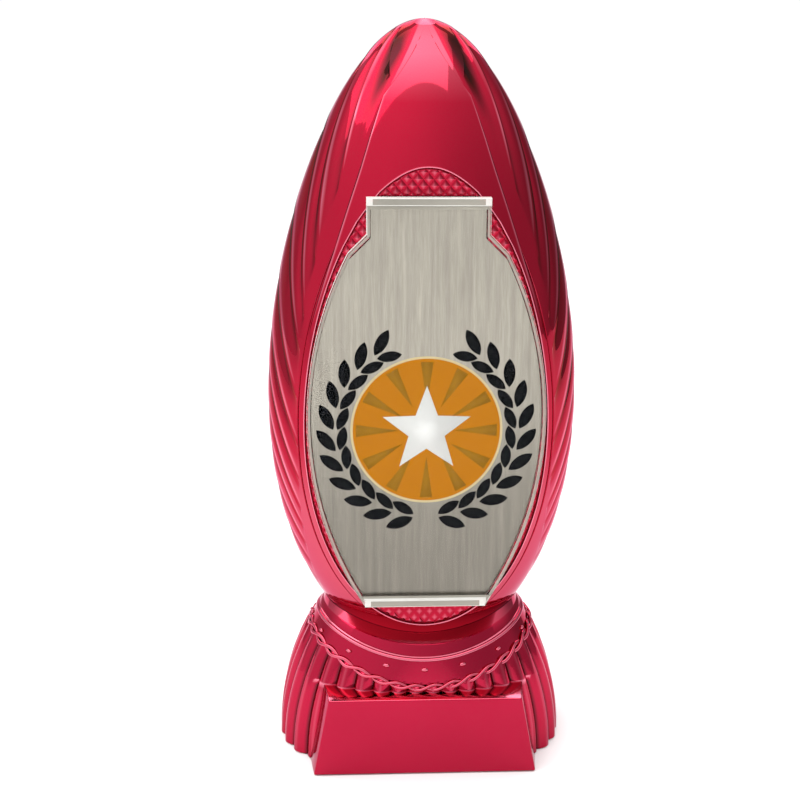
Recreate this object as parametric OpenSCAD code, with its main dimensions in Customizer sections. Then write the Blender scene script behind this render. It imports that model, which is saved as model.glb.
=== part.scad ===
// Egg-shaped sports award on a draped plinth, with a clip-on clear cover over a metal insert.
// The front faces -Y, the side spines of the egg lie on the X axis and +Z is up.
// The origin lies on the axis of the egg and of its tie rod, on the underside of the base pad.

/* [Egg body] */
// Height of the apex above the table
egg_top = 225; // [205:1:245]
// Height of the flat seat under the egg
seat_z = 31; // [28:0.5:34]
// Depth of the rounded end that the flat seat cuts away
seat_cut = 1; // [0.6:0.1:2]
// Radius of the plain egg curve at half its height, side to side
egg_r = 46.9; // [42:0.1:50]
// Half depth of the egg, front to back, as a share of its half width
egg_depth_share = 0.86; // [0.8:0.01:0.95]
// Shares that make the egg fuller below and slimmer above
egg_curve_shares = [-0.18, -0.02, -0.01];
// Wall of the two shells
shell_wall = 2.6; // [2.2:0.1:4]
// Thickness of the floor inside the egg, which the tie rod clamps
egg_floor = 4; // [3:0.5:6]

/* [Leaf flutes] */
// Number of flutes between the apex and the seat, along the spine
flute_count = 13; // [10:1:16]
// Depth of a flute below its ridges
flute_depth = 1.3; // [0.6:0.1:1.6]
// Drop of a ridge from the spine to the front or back centre line
flute_sweep = 62; // [40:1:70]
// Power that moves the longest drop towards the apex, where 1 puts it half way down
sweep_power = 0.75; // [0.65:0.05:1]
// Angle of the smooth field from its centre line, from the apex down to the seat
field_angles = [14, 33, 38, 46, 52, 52, 56, 67, 72, 76];
// Angle over which a flute fades in beside the smooth field
field_fade = 9; // [5:1:15]
// Depth below the apex over which the flutes deepen
flute_fade_top = 10; // [6:1:15]
// Height above the seat over which the flutes deepen
flute_fade_low = 20; // [12:1:30]

/* [Front facet] */
// Height of the middle of the facet
facet_z = 112; // [105:1:120]
// Depth of the facet in front of the egg's axis, at its middle
facet_y = 26.6; // [25:0.1:29]
// Lean of the facet, forward at its top
facet_lean = 2; // [0:0.1:3]

/* [Clear cover] */
// Widest part of the cover
cover_w = 70.2; // [64:0.1:72]
// Height of the widest part below the middle of the facet
cover_waist_drop = 2; // [0:0.5:5]
// Width of the neck at the top
neck_w = 35.4; // [30:0.1:38]
// Length of the straight neck
neck_h = 10.6; // [8:0.1:14]
// Width of the straight bottom edge
foot_w = 36.4; // [30:0.1:38]
// Top edge of the cover above the middle of the facet
cover_top = 63.6; // [58:0.1:65]
// Bottom edge of the cover below the middle of the facet
cover_foot = 60; // [56:0.1:62]
// Thickness of the clear sheet
cover_t = 2.2; // [1.8:0.1:3]
// Width of the clear rim that goes round the insert
cover_rim = 1; // [0.8:0.1:2]
// Height of the lip bars along the top and bottom edges
lip_h = 2.3; // [2:0.1:3]
// How far the lip bars stand out of the sheet
lip_out = 0.8; // [0.4:0.1:1.5]
// Length of the tongues that hook through the egg's wall
tongue_len = 6.4; // [5:0.1:8]
// Thickness of the tongues
tongue_t = 1.8; // [1.4:0.1:2.2]
// How much narrower a tongue is than its edge, at each end
tongue_step = 0.8; // [0.5:0.1:2]

/* [Insert] */
// Thickness of the printed metal insert
insert_t = 0.5; // [0.4:0.1:1]

/* [Plinth] */
// Width of the plinth across the crests of its folds, at the table
plinth_w = 90.4; // [84:0.2:96]
// Depth of the draped part at the table, front to back
plinth_d = 71; // [66:0.5:76]
// How far the draped part sits behind the egg's axis, at the table
plinth_back = 4; // [0:0.5:6]
// Power of the plinth's rounded outline at the table, where 2 is an ellipse
plinth_power = 2.6; // [2:0.1:4]
// Wall of the collar at the ears, beside the cup
collar_wall = 0.6; // [0.5:0.1:2]
// Depth of the shelf along the collar's rim at the front
rim_shelf = 4.5; // [3:0.1:5]
// Height of the ears above the table
ear_z = 46; // [44:0.5:48]
// Height of the collar's rim at the front and back centre lines
rim_z = 40; // [38:0.5:42]
// Height of the fine bead at the front and back centre lines
bead_z = 34.4; // [33:0.1:36]
// Height of the fine bead at the ears
bead_ear_z = 42.6; // [41:0.1:43]
// Height of the rope at the front and back centre lines
rope_z = 27; // [25:0.1:29]
// Height of the rope at the ears
rope_ear_z = 38.6; // [36:0.1:39.5]
// Radius of the rope
rope_r = 1.2; // [0.8:0.1:1.5]
// Radius of the fine bead
bead_r = 0.5; // [0.3:0.1:0.7]
// Number of drape folds round the plinth
fold_count = 24; // [18:2:28]
// Depth of the grooves between folds
fold_depth = 1.5; // [0.8:0.1:2]

/* [Plaque block] */
// Width of the block along the table
block_w = 68; // [62:0.5:70]
// Lean of the block's sides, inwards as they rise
block_lean = 10.8; // [8:0.1:13]
// Angle by which the block's sides spread apart towards the back
block_splay = 7; // [0:0.5:9]
// Height of the ledge above the table
block_h = 24.6; // [22:0.1:26]
// Front face of the block in front of the egg's axis
block_y = 34; // [33:0.5:37]
// Length of the block from its front face back into the folds
block_d = 16; // [14:0.5:20]

/* [Inside the plinth] */
// Width of the hollow under the plinth
hollow_w = 56; // [50:1:60]
// Depth of the hollow, front to back
hollow_d = 42; // [36:1:44]
// Radius of the hollow's corners
hollow_r = 6; // [3:0.5:10]
// Height of the hollow's ceiling above the table
hollow_z = 22; // [21:0.5:24]
// Thickness of the cast weight
weight_t = 13; // [10:0.5:13]
// Clearance between the weight and the walls of the hollow
weight_clear = 1; // [0.5:0.1:2]
// Width of the glued rim where the pad overlaps the base round the hollow
pad_rim = 7; // [5:0.5:8]
// Thickness of the pad under the base
pad_t = 1.2; // [0.8:0.1:1.4]
// How far the pad stands below the plinth
pad_proud = 0.3; // [0.2:0.1:0.6]

/* [Tie rod] */
// Diameter of the tie rod
rod_d = 6; // [5:0.5:8]
// Width across the flats of the nuts
nut_af = 10; // [8:0.5:13]
// Height of a nut
nut_h = 5; // [4:0.1:6.5]
// Diameter of a washer
washer_d = 12; // [10:0.5:16]
// Thickness of a washer
washer_t = 1.6; // [1:0.1:2]
// Length of rod that stands past each nut
rod_past = 1; // [0.5:0.1:1.2]

/* [Fits] */
// Gap between the egg and the cup of the collar
cup_gap = 0.3; // [0.2:0.05:0.5]
// How much wider the cup is at its rim
cup_flare = 0.5; // [0.2:0.1:1]
// Gap round the tongues in their slots
slot_gap = 0.7; // [0.4:0.1:0.9]
// Extra length of a slot past each end of its tongue
slot_end_gap = 1.6; // [1:0.1:2]
// Gap between the cover's parts and what they lie on
cover_gap = 0.2; // [0.1:0.05:0.4]
// Gap between the rod and its holes
rod_gap = 0.25; // [0.15:0.05:0.5]
// Gap between the rod and the threads of its nuts
thread_gap = 0.05; // [0.03:0.01:0.1]

/* [Hidden] */
$fn = 72;

// Extra length that every cut runs past the solid it cuts
over = 1;

// The egg curve runs from below the seat to the apex
egg_bottom = seat_z - seat_cut;
egg_mid = (egg_top + egg_bottom) / 2;
egg_half = (egg_top - egg_bottom) / 2;
egg_h = egg_top - seat_z;
floor_z = seat_z + egg_floor;

// Divisions of the egg's surface: rows in each flute and in the cap above them, and columns in a quarter of the round
flute_rows = 3;
cap_rows = flute_rows;
egg_rows = cap_rows + flute_count * flute_rows;
row_pitch = egg_h / (flute_count * flute_rows);
field_columns = 4;
flank_columns = 8;
flank_start_share = 0.45;
inner_rows = flute_count + 1;
inner_columns = 7;

// Divisions of the plinth's surface
fold_steps = 4;
plinth_steps = fold_count * fold_steps;
fold_row_shares = [0, 0.3, 0.58, 0.82];
bead_angles = [-90, -30, 30, 90];
cup_rows = 6;
cup_power = 1.5;

// Tongues and slots of the cover, in the plane of the facet
tongue_w = min(neck_w, foot_w) - 2 * tongue_step;
slot_w = tongue_w + 2 * (slot_gap + slot_end_gap);
slot_h = tongue_t + 2 * slot_gap;
tongue_top = cover_top - lip_h / 2;
tongue_foot = -cover_foot + lip_h / 2;
pocket_t = insert_t + cover_gap;

// Radius of the cover's long side arcs, from its waist to the ends of its foot
arc_rise = (cover_w - foot_w) / 2;
arc_run = cover_foot - cover_waist_drop;
arc_r = (arc_rise * arc_rise + arc_run * arc_run) / (2 * arc_rise);

// Heights of the clamped stack on the tie rod
weight_z = hollow_z - weight_t;
low_nut_z = weight_z - washer_t - nut_h;
high_nut_z = floor_z + washer_t;
rod_z = low_nut_z - rod_past;
rod_len = high_nut_z + nut_h + rod_past - rod_z;

// Radius of the egg's side at a height, moved out or in by a gap
function egg_side(z, gap) =
    let (t = min(1, max(-1, (z - egg_mid) / egg_half)))
    egg_r * sqrt(1 - t * t) * (1 + egg_curve_shares[0] * t + egg_curve_shares[1] * t * t
        + egg_curve_shares[2] * t * t * t) + gap;

// Value part way along a list, where the share runs from 0 at its start to 1 at its end
function along(list, share) =
    let (n = len(list) - 1, p = min(n - 0.0001, max(0, share * n)), i = floor(p))
    list[i] + (list[i + 1] - list[i]) * (p - i);

function clamp(v) = min(1, max(0, v));

// Depth below the apex of a place on a flute, which drops from the spine to the centre line
function swept(spine, angle) = spine + flute_sweep * sin(180 * pow(spine / egg_h, sweep_power)) * cos(angle);

// Depth of a row of the skin: the first few rows round the apex off above the first flute
function row_depth(row, angle) =
    row > cap_rows ? swept(row_pitch * (row - cap_rows), angle)
    : swept(row_pitch, angle) * pow(row / (cap_rows + 1), 2);

// Depth of the flutes at an angle and a depth below the apex, for a place across a flute
function flute_at(angle, depth, share) =
    flute_depth * 4 * share * (1 - share)
    * clamp((angle - along(field_angles, depth / egg_h)) / field_fade)
    * clamp(depth / flute_fade_top) * clamp((egg_h - depth) / flute_fade_low);

// One point of the fluted egg: the angle runs from -90 at the right spine, past 0 at the front, to 90
function egg_point(row, angle) =
    let (depth = row_depth(row, angle), share = max(0, row - cap_rows) % flute_rows / flute_rows,
         r = egg_side(egg_top - depth, -flute_at(abs(angle), depth, share)))
    [-r * sin(angle), -egg_depth_share * r * cos(angle), egg_top - depth];

// Angles of the columns across the front half, closer together on the fluted flanks
flank_start = 90 * flank_start_share;
half_angles = concat(
    [for (i = [flank_columns:-1:1]) -flank_start - (90 - flank_start) * i / flank_columns],
    [for (i = [-field_columns:field_columns]) flank_start * i / field_columns],
    [for (i = [1:flank_columns]) flank_start + (90 - flank_start) * i / flank_columns]);
inner_angles = [for (i = [-inner_columns:inner_columns]) 90 * i / inner_columns];

// Faces from an apex to the row of points after it, and over further rows of equal length
function fan(apex, n) = [for (i = [1:n - 1]) [apex, apex + i, apex + i + 1]];
function skin(first, n, rows) = [for (j = [0:rows - 2], i = [0:n - 2])
    let (a = first + j * n + i, b = a + n) each [[a, b, b + 1], [a, b + 1, a + 1]]];
// Faces of the flat joint, between an outer edge and the inner edge that has one point for each ridge
function joint(outer, inner) = [for (j = [0:len(inner) - 2]) let (o = j * flute_rows) each concat(
    [[inner[j], outer[o + 1], inner[j + 1]]],
    [for (i = [0:flute_rows - 1]) [outer[o + i], outer[o + i + 1], inner[i == 0 ? j : j + 1]]])];
function flipped(faces) = [for (f = faces) [f[0], f[2], f[1]]];

// One point of the plain hollow inside the egg, level with every ridge and kept behind the wall of the facet
function hollow_point(row, angle, front) =
    let (top = egg_top - shell_wall, z = top - (top - floor_z) * row_depth(row * flute_rows, 90) / egg_h,
         r = egg_side(z, -shell_wall), y = -r * egg_depth_share * cos(angle),
         wall = shell_wall - facet_y - (z - facet_z) * tan(facet_lean))
    [-r * sin(angle), front ? max(y, wall) : y, z];

// One half of the egg, with its flat joint on the XZ plane and its leaves towards -Y
module half_shell(front) {
    n = len(half_angles);
    m = len(inner_angles);
    rows = egg_rows;
    skin_end = (rows - 1) * n;
    inner = 1 + rows * n;
    hollow_end = inner + 1 + (inner_rows - 1) * m;
    outside = concat([[0, 0, egg_top]], [for (row = [1:rows], a = half_angles) egg_point(row, a)]);
    inside = concat([[0, 0, egg_top - shell_wall]],
        [for (row = [1:inner_rows], a = inner_angles) hollow_point(row, a, front)]);
    left = joint([for (j = [0:rows]) j * n], [for (j = [0:inner_rows]) inner + j * m]);
    right = joint([for (j = [0:rows]) j == 0 ? 0 : 1 + (j - 1) * n],
        [for (j = [0:inner_rows]) j == 0 ? inner : inner + 1 + (j - 1) * m]);
    below = [rows * n, 1 + skin_end, hollow_end, hollow_end + m - 1];
    polyhedron(concat(outside, inside), concat(
        fan(0, n), skin(1, n, rows), [[for (i = [n - 1:-1:0]) 1 + skin_end + i]],
        flipped(fan(inner, m)), flipped(skin(inner + 1, m, inner_rows)), [[for (i = [0:m - 1]) hollow_end + i]],
        flipped(right), left, [below]));
}

// Places what is drawn on the XZ plane on the leaning facet, with -Y out of it
module on_facet() {
    translate([0, -facet_y, facet_z]) rotate([facet_lean, 0, 0]) children();
}

// Everything in front of the facet
module before_facet() {
    on_facet() translate([-egg_r, -egg_r, -egg_h]) cube([2 * egg_r, egg_r, 2 * egg_h]);
}

module rod_hole() {
    cylinder(h = egg_top / 2, d = rod_d + 2 * rod_gap);
}

module slot(z) {
    on_facet() translate([-slot_w / 2, -egg_r / 2, z - slot_h / 2])
        cube([slot_w, egg_r / 2 + 3 * shell_wall, slot_h]);
}

module body_front_shell() {
    color("crimson") difference() {
        half_shell(true);
        before_facet();
        slot(tongue_top);
        slot(tongue_foot);
        rod_hole();
    }
}

module body_rear_shell() {
    color("crimson") difference() {
        mirror([0, 1, 0]) half_shell(false);
        rod_hole();
    }
}

// Outline of the cover on the facet, drawn in by an inset and cut back from the lip bars
module cover_outline(inset, lip) {
    neck = neck_w / 2 - inset;
    top = cover_top - lip;
    foot = -cover_foot + lip;
    shoulder = cover_top - neck_h - inset;
    wide = cover_w / 2;
    reach = shoulder - (wide - neck);
    translate([-neck, foot]) square([2 * neck, top - foot]);
    intersection() {
        translate([wide - arc_r, -cover_waist_drop]) circle(r = arc_r - inset);
        translate([arc_r - wide, -cover_waist_drop]) circle(r = arc_r - inset);
        polygon([[-neck, shoulder], [neck, shoulder], [wide, reach], [wide, foot], [-wide, foot], [-wide, reach]]);
    }
}

// A flat layer with the cover's outline, from one distance in front of the facet to another
module cover_layer(inset, lip, near, thick) {
    on_facet() translate([0, -near, 0]) rotate([90, 0, 0]) linear_extrude(thick) cover_outline(inset, lip);
}

// A lip bar along one straight edge and the tongue behind it
module lip(z, width) {
    on_facet() {
        translate([-width / 2, -cover_gap - cover_t - lip_out, z - lip_h / 2])
            cube([width, cover_t + lip_out, lip_h]);
        translate([-tongue_w / 2, -cover_gap - cover_t / 2, z - tongue_t / 2])
            cube([tongue_w, cover_gap + cover_t / 2 + tongue_len, tongue_t]);
    }
}

module clear_cover() {
    color("lightcyan", 0.4) {
        difference() {
            cover_layer(0, 0, cover_gap, cover_t);
            cover_layer(cover_rim, lip_h, cover_gap - over, pocket_t + over);
        }
        lip(tongue_top, neck_w);
        lip(tongue_foot, foot_w);
    }
}

module insert_plate() {
    color("silver") cover_layer(cover_rim + cover_gap, lip_h + cover_gap, cover_gap + pocket_t - insert_t, insert_t);
}

// The draped outline at a height: it narrows from the table up to the collar, which wraps the egg
function rise(z) = pow(clamp(z / ear_z), 2);
cup_room = cup_gap + cup_flare + fold_depth / 2;
collar_w = 2 * (egg_side(ear_z, cup_room) + collar_wall);
rim_d = 2 * (egg_depth_share * egg_side(rim_z, cup_room) + rim_shelf + plinth_back * (1 - rise(rim_z)));
collar_d = (rim_d - plinth_d * (1 - rise(rim_z))) / rise(rim_z);
function drape_r(z, a) =
    let (f = rise(z), w = (plinth_w * (1 - f) + collar_w * f) / 2, d = (plinth_d * (1 - f) + collar_d * f) / 2,
         n = plinth_power * (1 - f) + 2 * f)
    1 / pow(pow(abs(sin(a)) / w, n) + pow(abs(cos(a)) / d, n), 1 / n);
function fold_cut(a) = fold_depth * (1 - abs(sin(a * fold_count / 2)));
function drape_point(z, a, out) =
    let (r = drape_r(z, a) + out) [r * sin(a), plinth_back * (1 - rise(z)) - r * cos(a), z];

// Height of a swag that hangs between the ears
function swag(low, high, a) = low + (high - low) * sin(a) * sin(a);

// One upright line of the plinth's skin, from the table up over the rim and down into the cup
function plinth_line(a) =
    let (rope = swag(rope_z, rope_ear_z, a), bead = swag(bead_z, bead_ear_z, a), rim = swag(rim_z, ear_z, a),
         plain = -fold_depth / 2)
    concat([for (s = fold_row_shares)
               let (z = (rope - rope_r) * s - over * (1 - s)) drape_point(z, a, -fold_cut(a))],
           [for (b = bead_angles) drape_point(rope + rope_r * sin(b), a, plain + rope_r * cos(b))],
           [for (b = bead_angles) drape_point(bead + bead_r * sin(b), a, plain + bead_r * cos(b))],
           [drape_point(rim, a, plain)],
           [for (j = [0:cup_rows])
               let (s = 1 - j / cup_rows, z = seat_z + (rim - seat_z) * pow(s, cup_power),
                    r = egg_side(z + cup_gap, cup_gap + cup_flare * s))
               [r * sin(a), -r * egg_depth_share * cos(a), z]]);

module draped_skin() {
    lines = [for (i = [0:plinth_steps - 1]) plinth_line(360 * i / plinth_steps)];
    rows = len(lines[0]);
    sides = [for (i = [0:plinth_steps - 1], j = [0:rows - 2])
        let (a = i * rows + j, b = ((i + 1) % plinth_steps) * rows + j)
        each [[a, a + 1, b + 1], [a, b + 1, b]]];
    table = [for (i = [0:plinth_steps - 1]) i * rows];
    seat = [for (i = [plinth_steps - 1:-1:0]) i * rows + rows - 1];
    polyhedron([for (line = lines) each line], concat(sides, [table], [seat]));
}

// The block that carries the plaque: its sides lean in as they rise and spread towards the back
module plaque_block() {
    difference() {
        translate([-block_w, -block_y, -2 * over]) cube([2 * block_w, block_d, block_h + 2 * over]);
        for (side = [0, 1]) mirror([side, 0, 0]) translate([block_w / 2, -block_y, 0])
            rotate([0, 0, -block_splay]) rotate([0, -block_lean, 0])
                translate([0, -block_d, -block_h]) cube([block_w, 3 * block_d, 3 * block_h]);
    }
}

// Upright solid with round corners, centred behind the egg's axis as the draped part is
module rounded_slab(w, d, r, z, h) {
    translate([0, plinth_back, z]) linear_extrude(h) {
        square([w - 2 * r, d], center = true);
        square([w, d - 2 * r], center = true);
        for (x = [-1, 1], y = [-1, 1]) translate([x * (w / 2 - r), y * (d / 2 - r)]) circle(r = r);
    }
}

module pad_slab(z, h) {
    rounded_slab(hollow_w + 2 * pad_rim, hollow_d + 2 * pad_rim, hollow_r + pad_rim, z, h);
}

module plinth() {
    color("crimson") difference() {
        union() {
            draped_skin();
            plaque_block();
        }
        translate([-plinth_w, -plinth_w, pad_proud - plinth_w]) cube([2 * plinth_w, 2 * plinth_w, plinth_w]);
        rounded_slab(hollow_w, hollow_d, hollow_r, 0, hollow_z);
        pad_slab(0, pad_t);
        rod_hole();
    }
}

module base_weight() {
    color("dimgray") difference() {
        rounded_slab(hollow_w - 2 * weight_clear, hollow_d - 2 * weight_clear, hollow_r - weight_clear,
            weight_z, weight_t);
        rod_hole();
    }
}

module base_pad() {
    color("black") pad_slab(0, pad_t);
}

module tie_rod() {
    color("silver") translate([0, 0, rod_z]) cylinder(h = rod_len, d = rod_d);
}

module nut(z) {
    translate([0, 0, z]) difference() {
        cylinder(h = nut_h, d = nut_af / cos(30), $fn = 6);
        translate([0, 0, -over]) cylinder(h = nut_h + 2 * over, d = rod_d + 2 * thread_gap);
    }
}

module washer(z) {
    translate([0, 0, z]) difference() {
        cylinder(h = washer_t, d = washer_d);
        translate([0, 0, -over]) cylinder(h = washer_t + 2 * over, d = rod_d + 2 * rod_gap);
    }
}

module rod_nuts() {
    color("silver") {
        nut(low_nut_z);
        nut(high_nut_z);
    }
}

module rod_washers() {
    color("silver") {
        washer(weight_z - washer_t);
        washer(floor_z);
    }
}

body_front_shell();
body_rear_shell();
clear_cover();
insert_plate();
plinth();
base_weight();
tie_rod();
rod_nuts();
rod_washers();
base_pad();
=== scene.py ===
"""Egg-shaped sports award on a draped plinth, with a clear cover over a printed metal insert."""

import math

import bmesh
import bpy
from mathutils import Matrix, Vector


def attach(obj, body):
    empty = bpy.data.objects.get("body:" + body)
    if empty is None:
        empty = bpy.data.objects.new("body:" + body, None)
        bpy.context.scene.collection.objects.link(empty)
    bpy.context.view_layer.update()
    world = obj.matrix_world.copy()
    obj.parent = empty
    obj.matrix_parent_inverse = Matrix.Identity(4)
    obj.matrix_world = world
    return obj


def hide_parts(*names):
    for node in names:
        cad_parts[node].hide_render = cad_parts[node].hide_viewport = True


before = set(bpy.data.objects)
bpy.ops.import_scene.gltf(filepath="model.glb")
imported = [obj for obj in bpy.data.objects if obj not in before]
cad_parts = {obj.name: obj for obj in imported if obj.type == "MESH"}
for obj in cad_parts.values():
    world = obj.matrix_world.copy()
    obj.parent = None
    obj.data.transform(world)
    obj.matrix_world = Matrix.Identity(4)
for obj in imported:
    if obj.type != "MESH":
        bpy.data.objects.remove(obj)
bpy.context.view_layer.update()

# Egg shells
# Two half shells moulded in ABS, metallised in a vacuum chamber and sprayed with clear crimson lacquer. They
# meet at the side spines. Leaf-shaped flutes hang from the spines and fade out beside a smooth field.
# All lengths are in mm, and MM turns them into metres.
MM = 0.001
EGG_TOP, SEAT_Z, EGG_R, EGG_DEPTH = 225.0, 31.0, 46.9, 0.86
EGG_LOW, EGG_H = SEAT_Z - 1.0, EGG_TOP - SEAT_Z
EGG_TAPER, SHELL_WALL = (0.18, 0.02, 0.01), 2.6
# Each ridge leaves the spine at its depth below the apex, and sweeps down round a turning angle.
RIDGE_DEPTHS = (0, 0.7, 2.5, 6, 24, 46, 63, 80, 90, 102, 114, 127, 141, 155, 170, 194)
RIDGE_SWEEPS = (0, 24, 78, 82, 85, 70, 70, 70, 70, 70, 62, 54, 44, 32, 18, 0)
RIDGE_TURNS = (30, 34, 46, 58, 60, 62, 62, 60, 62, 62, 62, 62, 62, 62, 62, 62)
RIDGE_EASES = (7, 7, 4, 7, 9, 12, 14, 14, 14, 14, 14, 14, 14, 14, 14, 14)
LAST_FLUTE = len(RIDGE_DEPTHS) - 2
# Rows of mesh in a flute, as shares of the way to the next ridge, with how deep the groove is cut there and
# the light painted into the colour there, from 1 for painted shade to -1 for a painted highlight.
GROOVE_ROWS = (0.0, 0.03, 0.09, 0.17, 0.3, 0.46, 0.66, 0.84, 0.93)
GROOVE_CUTS = (0.0, 0.85, 1.0, 0.92, 0.62, 0.32, 0.13, 0.03, 0.01)
GROOVE_PAINTED_LIGHT = (1.0, 1.0, 1.0, 0.85, 0.35, 0.08, 0.0, -0.8, 0.55)
APEX_ROWS, SEAT_ROWS, FIELD_COLUMNS, FLUTE_COLUMNS = 12, 4, 34, 76
# Angles from the front at which the grooves and the smooth field end, evenly spaced from apex to seat
TIP_ANGLES = (12, 30, 43, 49, 52, 53, 53, 58, 66, 72)
FIELD_ANGLES = (0, 30, 34, 40, 47, 51, 53, 57, 64, 70)
# Grooves fade in beside their tips and below the apex, and fade out above the seat and near the spine.
GROOVE_DEPTH, TIP_FADE, TIP_ROUND, APEX_FADE, SEAT_FADE = 1.6, 16, 0.7, (0, 9), (EGG_H, EGG_H - 14)
# Painted lines along the grooves come to full strength early, and their painted highlights start below the
# apex.
SPINE_FADE, SPINE_SHARE, LINE_REACH, LINE_FADE = (90, 76), 0.3, 1.5, (18, 32)
# A low step runs down the edge of the smooth field, with a line of painted highlight and a line of painted
# shade beside it.
FIELD_STEP, STEP_COLUMNS, STEP_START, STEP_END = 0.6, 16, (3, 11), (92, 70)
STEP_PAINTED_LIGHT, STEP_LINE_FADE = (-0.1, -0.85, 1.0), (18, 30)
# Painted highlights lighten the cap round the apex and the lower flanks.
CAP_PAINTED_HIGHLIGHT, CAP_FADE, FLANK_PAINTED_HIGHLIGHT, FLANK_FADE = 0.42, (36, 10), 0.44, (106, 142)


def ramp(value, start, end):
    """How far a value is on its way from a start to an end, from 0 to 1."""
    return min(1.0, max(0.0, (value - start) / (end - start)))


def egg_side(z, out=0.0):
    """Half width of the plain egg at a height: an ellipse that a cubic taper narrows towards the apex."""
    t = (z - (EGG_TOP + EGG_LOW) / 2) / ((EGG_TOP - EGG_LOW) / 2)
    t = min(1.0, max(-1.0, t))
    first, second, third = EGG_TAPER
    return EGG_R * math.sqrt(1 - t * t) * (1 - first * t - second * t**2 - third * t**3) + out


def along(values, share):
    """Value part way along a list, from its start at 0 to its end at 1."""
    place = min(len(values) - 1.001, max(0.0, share * (len(values) - 1)))
    i = int(place)
    return values[i] + (values[i + 1] - values[i]) * (place - i)


def ridge_depth(ridge, angle):
    """Depth below the apex where a ridge crosses an angle, in degrees from the front."""
    sweep = RIDGE_SWEEPS[ridge] / (1 + math.exp((angle - RIDGE_TURNS[ridge]) / RIDGE_EASES[ridge]))
    return RIDGE_DEPTHS[ridge] + sweep


def row_depth(flute, share, angle):
    high, low = ridge_depth(flute, angle), ridge_depth(flute + 1, angle)
    return high + (low - high) * share


def column_angle(column, flute, share):
    """Angle of a column in a row: columns fan out so that one of them runs down the smooth field's edge."""
    low, high, close_enough = 0.0, 90.0, 0.004
    while high - low > close_enough:
        angle = (low + high) / 2
        field = along(FIELD_ANGLES, row_depth(flute, share, angle) / EGG_H)
        place = field * column / FIELD_COLUMNS
        if column > FIELD_COLUMNS:
            place = field + (90 - field) * (column - FIELD_COLUMNS) / FLUTE_COLUMNS
        low, high = (angle, high) if place > angle else (low, angle)
    return (low + high) / 2


def cut_depth(flute, share, angle, column):
    """How deep the moulding is cut at a row of a flute, and the light painted into its colour there.

    A narrow groove lies under each ridge, then a leaf rises to the next ridge. Painted shade darkens the
    groove and the leaf's edge. Painted highlights lie just above that edge, beside the smooth field, at the
    apex and low on the flanks.
    """
    depth = row_depth(flute, share, angle)
    tip = along(TIP_ANGLES, depth / EGG_H)
    reach = ramp(angle, tip, tip + TIP_FADE) ** TIP_ROUND
    reach *= ramp(depth, *APEX_FADE) * ramp(depth, *SEAT_FADE)
    strength = reach * (SPINE_SHARE + (1 - SPINE_SHARE) * ramp(angle, *SPINE_FADE))
    row = GROOVE_ROWS.index(share) if share in GROOVE_ROWS and 0 < flute < LAST_FLUTE else 0
    groove = GROOVE_DEPTH * GROOVE_CUTS[row] * strength
    painted_light = max(GROOVE_PAINTED_LIGHT[row] * min(1.0, LINE_REACH * reach), -ramp(depth, *LINE_FADE))
    fade = ramp(depth, *STEP_START) * ramp(depth, *STEP_END)
    step = ramp(column, FIELD_COLUMNS + STEP_COLUMNS, FIELD_COLUMNS) if column > FIELD_COLUMNS else 0.0
    if abs(column - FIELD_COLUMNS) < 2:
        painted_light = STEP_PAINTED_LIGHT[column - FIELD_COLUMNS + 1] * fade * ramp(depth, *STEP_LINE_FADE)
    painted_highlight = CAP_PAINTED_HIGHLIGHT * ramp(depth, *CAP_FADE) + FLANK_PAINTED_HIGHLIGHT * ramp(depth, *FLANK_FADE)
    return max(groove, step * FIELD_STEP * fade), painted_light - painted_highlight * (1 - max(0.0, painted_light))


def quarter_shell():
    """A quarter of the egg as a skin, from a flat grid whose rows follow the ridges."""
    rows = [(0, k / APEX_ROWS) for k in range(APEX_ROWS)]
    rows += [(flute, share) for flute in range(1, LAST_FLUTE) for share in GROOVE_ROWS]
    rows += [(LAST_FLUTE, k / SEAT_ROWS) for k in range(SEAT_ROWS + 1)]
    columns, last_row = FIELD_COLUMNS + FLUTE_COLUMNS, len(rows) - 1
    bm = bmesh.new()
    bmesh.ops.create_grid(bm, x_segments=columns, y_segments=last_row, size=0.5)
    light_layer = bm.verts.layers.float.new("painted_shade_and_highlight")
    for v in bm.verts:
        column, row = round((v.co.x + 0.5) * columns), round((0.5 - v.co.y) * last_row)
        flute, share = rows[row]
        angle = column_angle(column, flute, share)
        # Each corner carries its painted light from cut_depth: painted shade above 0, a painted highlight
        # below.
        cut, v[light_layer] = cut_depth(flute, share, angle, column)
        # The grid's four edges lie exactly on the apex, the seat, the front line and the spine.
        depth = {0: 0.0, last_row: EGG_H}.get(row, row_depth(flute, share, angle))
        r = max(0.0, egg_side(EGG_TOP - depth, -cut)) if row else 0.0
        turn = math.radians({0: 0, columns: 90}.get(column, angle))
        y = -r * EGG_DEPTH * math.cos(turn) if column < columns else 0.0
        v.co = Vector((r * math.sin(turn), y, EGG_TOP - depth)) * MM
    return bm


def everything(bm):
    return bm.verts[:] + bm.edges[:] + bm.faces[:]


def half_shell(quarter, side):
    """One half of the egg: a quarter and its mirror image, for the front (1) or the rear (-1)."""
    bm = quarter.copy()
    bmesh.ops.transform(bm, matrix=Matrix.Diagonal((1.0, side, 1.0, 1.0)), verts=bm.verts)
    bmesh.ops.mirror(bm, geom=everything(bm), axis="X", merge_dist=1e-6)
    bmesh.ops.remove_doubles(bm, verts=bm.verts, dist=2e-6)
    return bm


def fill_seat(bm):
    """Closes the flat seat under the egg."""
    low = [e for e in bm.edges if e.is_boundary and all(v.co.z < (SEAT_Z + 0.01) * MM for v in e.verts)]
    bmesh.ops.contextual_create(bm, geom=low + list({v for e in low for v in e.verts}))


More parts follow.
